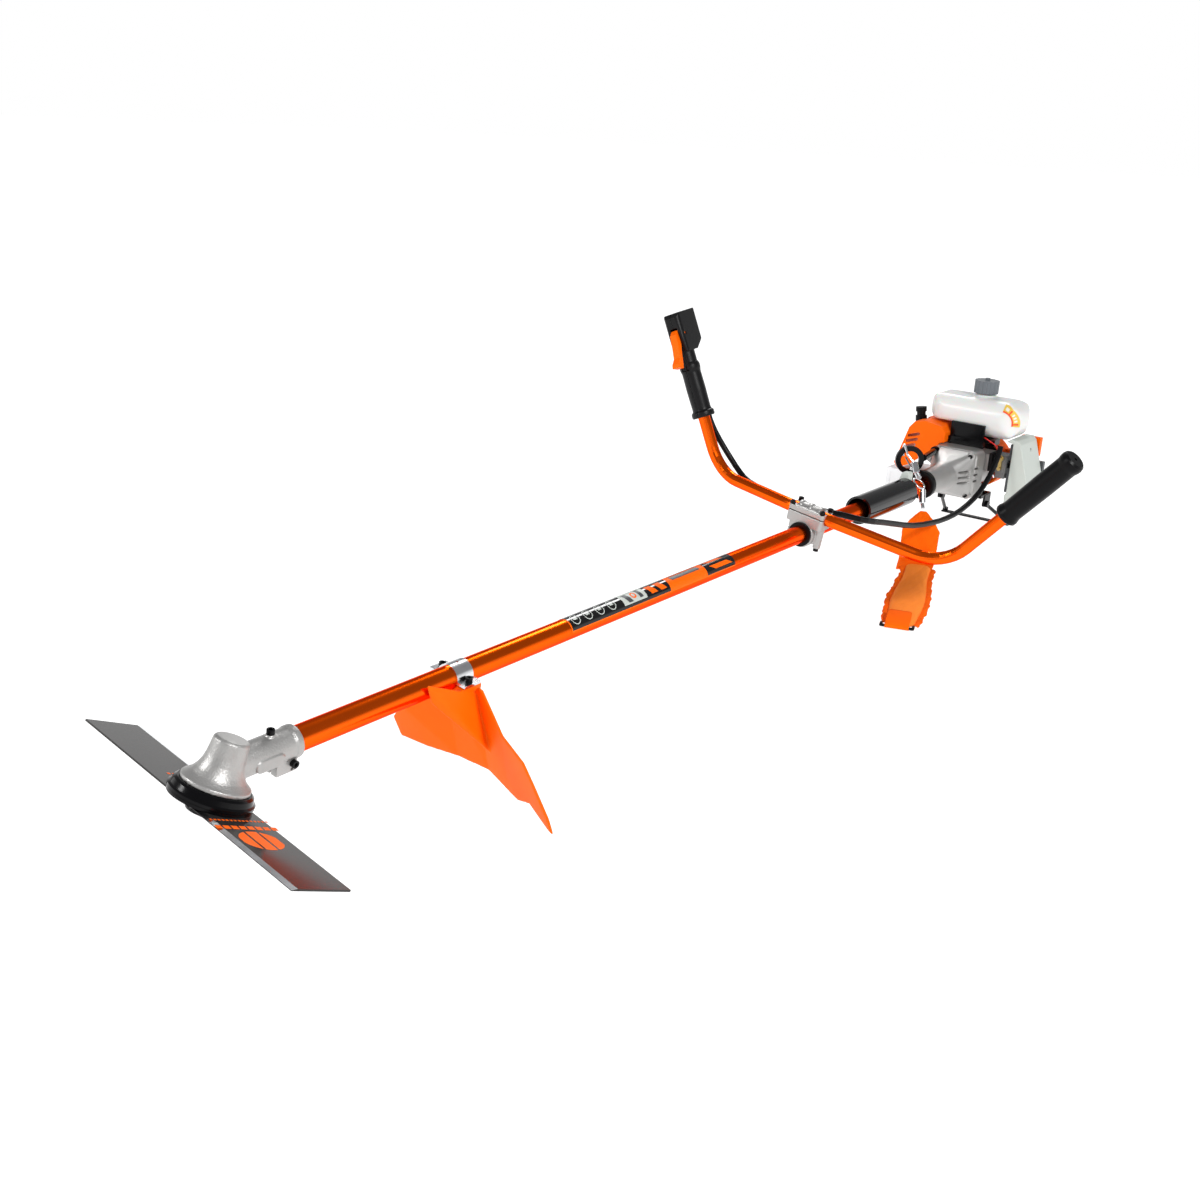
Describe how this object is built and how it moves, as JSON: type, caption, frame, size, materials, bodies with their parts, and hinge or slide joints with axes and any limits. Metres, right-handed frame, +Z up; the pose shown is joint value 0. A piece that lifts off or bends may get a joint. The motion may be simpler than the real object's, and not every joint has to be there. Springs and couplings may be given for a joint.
{
  "type": "brush cutter",
  "caption": "Petrol brush cutter with a bull handlebar, straight blade and guard, rear engine with top tank, throttle handle and harness strap.",
  "frame": {"origin": "middle of the underside of the stand's foot, on the ground", "axes": "+X along the shaft towards the blade, +Y to the operator's left, +Z up"},
  "size_m": [1.9172, 0.7241, 0.4306],
  "materials": {
    "steel_shaft": "machined",
    "orange_paint": "gloss metallic orange",
    "orange_plastic": "satin moulded",
    "cast_alloy": "sand cast, bead blasted",
    "grey_alloy": "die cast, dull",
    "black_steel": "black coating",
    "blade_steel": "dark ground steel with a bright edge",
    "zinc_steel": "bright zinc",
    "yellow_zinc": "yellow passivated zinc",
    "silver_heat_paint": "silver heat paint",
    "black_rubber": "satin rubber",
    "black_plastic": "fine grain",
    "black_gloss": "gloss",
    "dark_grey_plastic": "fine grain",
    "light_grey_plastic": "fine grain",
    "cap_grey": "satin",
    "tank_white": "translucent milky",
    "plug_metal": "plated steel and white ceramic",
    "orange_webbing": "woven webbing"
  },
  "bodies": {
    "machine": {"ball_bearings": "steel_shaft", "shaft_tube": "orange_paint", "handlebar": "orange_paint", "guard": "orange_plastic", "cylinder_cover": "orange_plastic", "starter_cover": "orange_plastic", "gear_case": "cast_alloy", "clamp_base": "cast_alloy", "clamp_cap": "cast_alloy", "clutch_case": "cast_alloy", "crankcase": "cast_alloy", "cylinder_block": "cast_alloy", "carburettor": "grey_alloy", "anti_wrap_ring": "black_steel", "hanger_bracket": "black_steel", "stand": "black_steel", "tank_bracket": "black_steel", "cap_screws": "black_steel", "guard_clamp": "zinc_steel", "snap_hook": "zinc_steel", "muffler": "silver_heat_paint", "clamp_bush": "black_rubber", "plain_grip": "black_rubber", "throttle_conduit": "black_rubber", "plug_cap": "black_rubber", "throttle_housing": "black_plastic", "throttle_housing_lid": "black_plastic", "intake": "black_plastic", "shaft_bushes": "black_plastic", "shaft_sleeve": "black_gloss", "filter_base": "dark_grey_plastic", "filter_cover": "light_grey_plastic", "fuel_tank": "tank_white", "spark_plug": "plug_metal", "strap": "orange_webbing", "strap_pad": "orange_webbing"},
    "blade_rotor": {"output_gear": "steel_shaft", "output_shaft": "steel_shaft", "blade_holder": "black_steel", "blade": "blade_steel", "blade_washer": "steel_shaft", "blade_cup": "black_steel", "blade_nut": "steel_shaft"},
    "drive_line": {"drive_shaft": "steel_shaft", "pinion": "steel_shaft", "clutch_drum": "steel_shaft"},
    "crank_line": {"crankshaft": "steel_shaft", "flywheel": "cast_alloy", "clutch_shoes": "black_steel"},
    "piston_set": {"piston": "cast_alloy", "connecting_rod": "steel_shaft"},
    "trigger": {"trigger": "orange_plastic"},
    "trigger_lock": {"trigger_lock": "orange_plastic"},
    "stop_switch": {"stop_switch": "orange_plastic"},
    "throttle_lever": {"throttle_lever": "yellow_zinc"},
    "choke_lever": {"choke_lever": "black_plastic"},
    "fuel_cap": {"fuel_cap": "cap_grey"},
    "hook_gate": {"hook_gate": "steel_shaft"},
    "starter_pulley": {"starter_pulley": "black_plastic"},
    "starter_handle": {"starter_handle": "black_plastic"}
  },
  "joints": [
    {"name": "blade_spin", "type": "hinge", "parent": "machine", "child": "blade_rotor", "pos_m": [1.841, 0, 0.122], "axis": [-0.3907, 0.1186, 0.9128], "continuous": true},
    {"name": "drive_spin", "type": "hinge", "parent": "machine", "child": "drive_line", "pos_m": [0.205, 0, 0.122], "axis": [1, 0, 0], "continuous": true},
    {"name": "crank_spin", "type": "hinge", "parent": "machine", "child": "crank_line", "pos_m": [0.085, 0, 0.122], "axis": [1, 0, 0], "continuous": true},
    {"name": "piston_slide", "type": "slide", "parent": "machine", "child": "piston_set", "axis": [0, -0.8829, 0.4695], "range_m": [-0.032, 0]},
    {"name": "trigger_pull", "type": "hinge", "parent": "machine", "child": "trigger", "pos_m": [0.67394, -0.2982, 0.38939], "axis": [-0.0591, 0.92, 0.3875], "range_deg": [0, 12], "stiffness_Nm_per_rad": 0.6, "springref_deg": -20.05},
    {"name": "trigger_lock_press", "type": "hinge", "parent": "machine", "child": "trigger_lock", "pos_m": [0.65025, -0.28663, 0.35829], "axis": [0.0591, -0.92, -0.3875], "range_deg": [0, 6], "stiffness_Nm_per_rad": 0.3, "springref_deg": -11.46},
    {"name": "stop_switch_press", "type": "slide", "parent": "machine", "child": "stop_switch", "axis": [0.9976, 0.0686, -0.0109], "range_m": [0, 0.0025], "stiffness_N_per_m": 900, "springref_m": -0.002},
    {"name": "throttle_lever_turn", "type": "hinge", "parent": "machine", "child": "throttle_lever", "pos_m": [0.102, 0.071, 0.1535], "axis": [1, 0, 0], "range_deg": [0, 60]},
    {"name": "choke_turn", "type": "hinge", "parent": "machine", "child": "choke_lever", "pos_m": [0.061, 0.068, 0.142], "axis": [-1, 0, 0], "range_deg": [0, 60]},
    {"name": "fuel_cap_turn", "type": "hinge", "parent": "machine", "child": "fuel_cap", "pos_m": [0.057, 0.006, 0.267], "axis": [0, 0, 1], "range_deg": [0, 540]},
    {"name": "hook_gate_open", "type": "hinge", "parent": "machine", "child": "hook_gate", "pos_m": [0.299, -0.019, 0.149], "axis": [0, 1, 0], "range_deg": [0, 20], "stiffness_Nm_per_rad": 0.15, "springref_deg": -11.46},
    {"name": "starter_pulley_turn", "type": "hinge", "parent": "machine", "child": "starter_pulley", "pos_m": [-0.003, 0, 0.122], "axis": [-1, 0, 0], "range_deg": [0, 1430], "stiffness_Nm_per_rad": 0.004, "springref_deg": -114.59},
    {"name": "starter_handle_pull", "type": "slide", "parent": "machine", "child": "starter_handle", "axis": [0, 0, 1], "range_m": [0, 0.748]}
  ],
  "couplings": [
    {"joint": "drive_spin", "follows": "blade_spin", "ratio": -1.3571},
    {"joint": "throttle_lever_turn", "follows": "trigger_pull", "ratio": 5},
    {"joint": "starter_handle_pull", "follows": "starter_pulley_turn", "m_per_rad": 0.03}
  ]
}
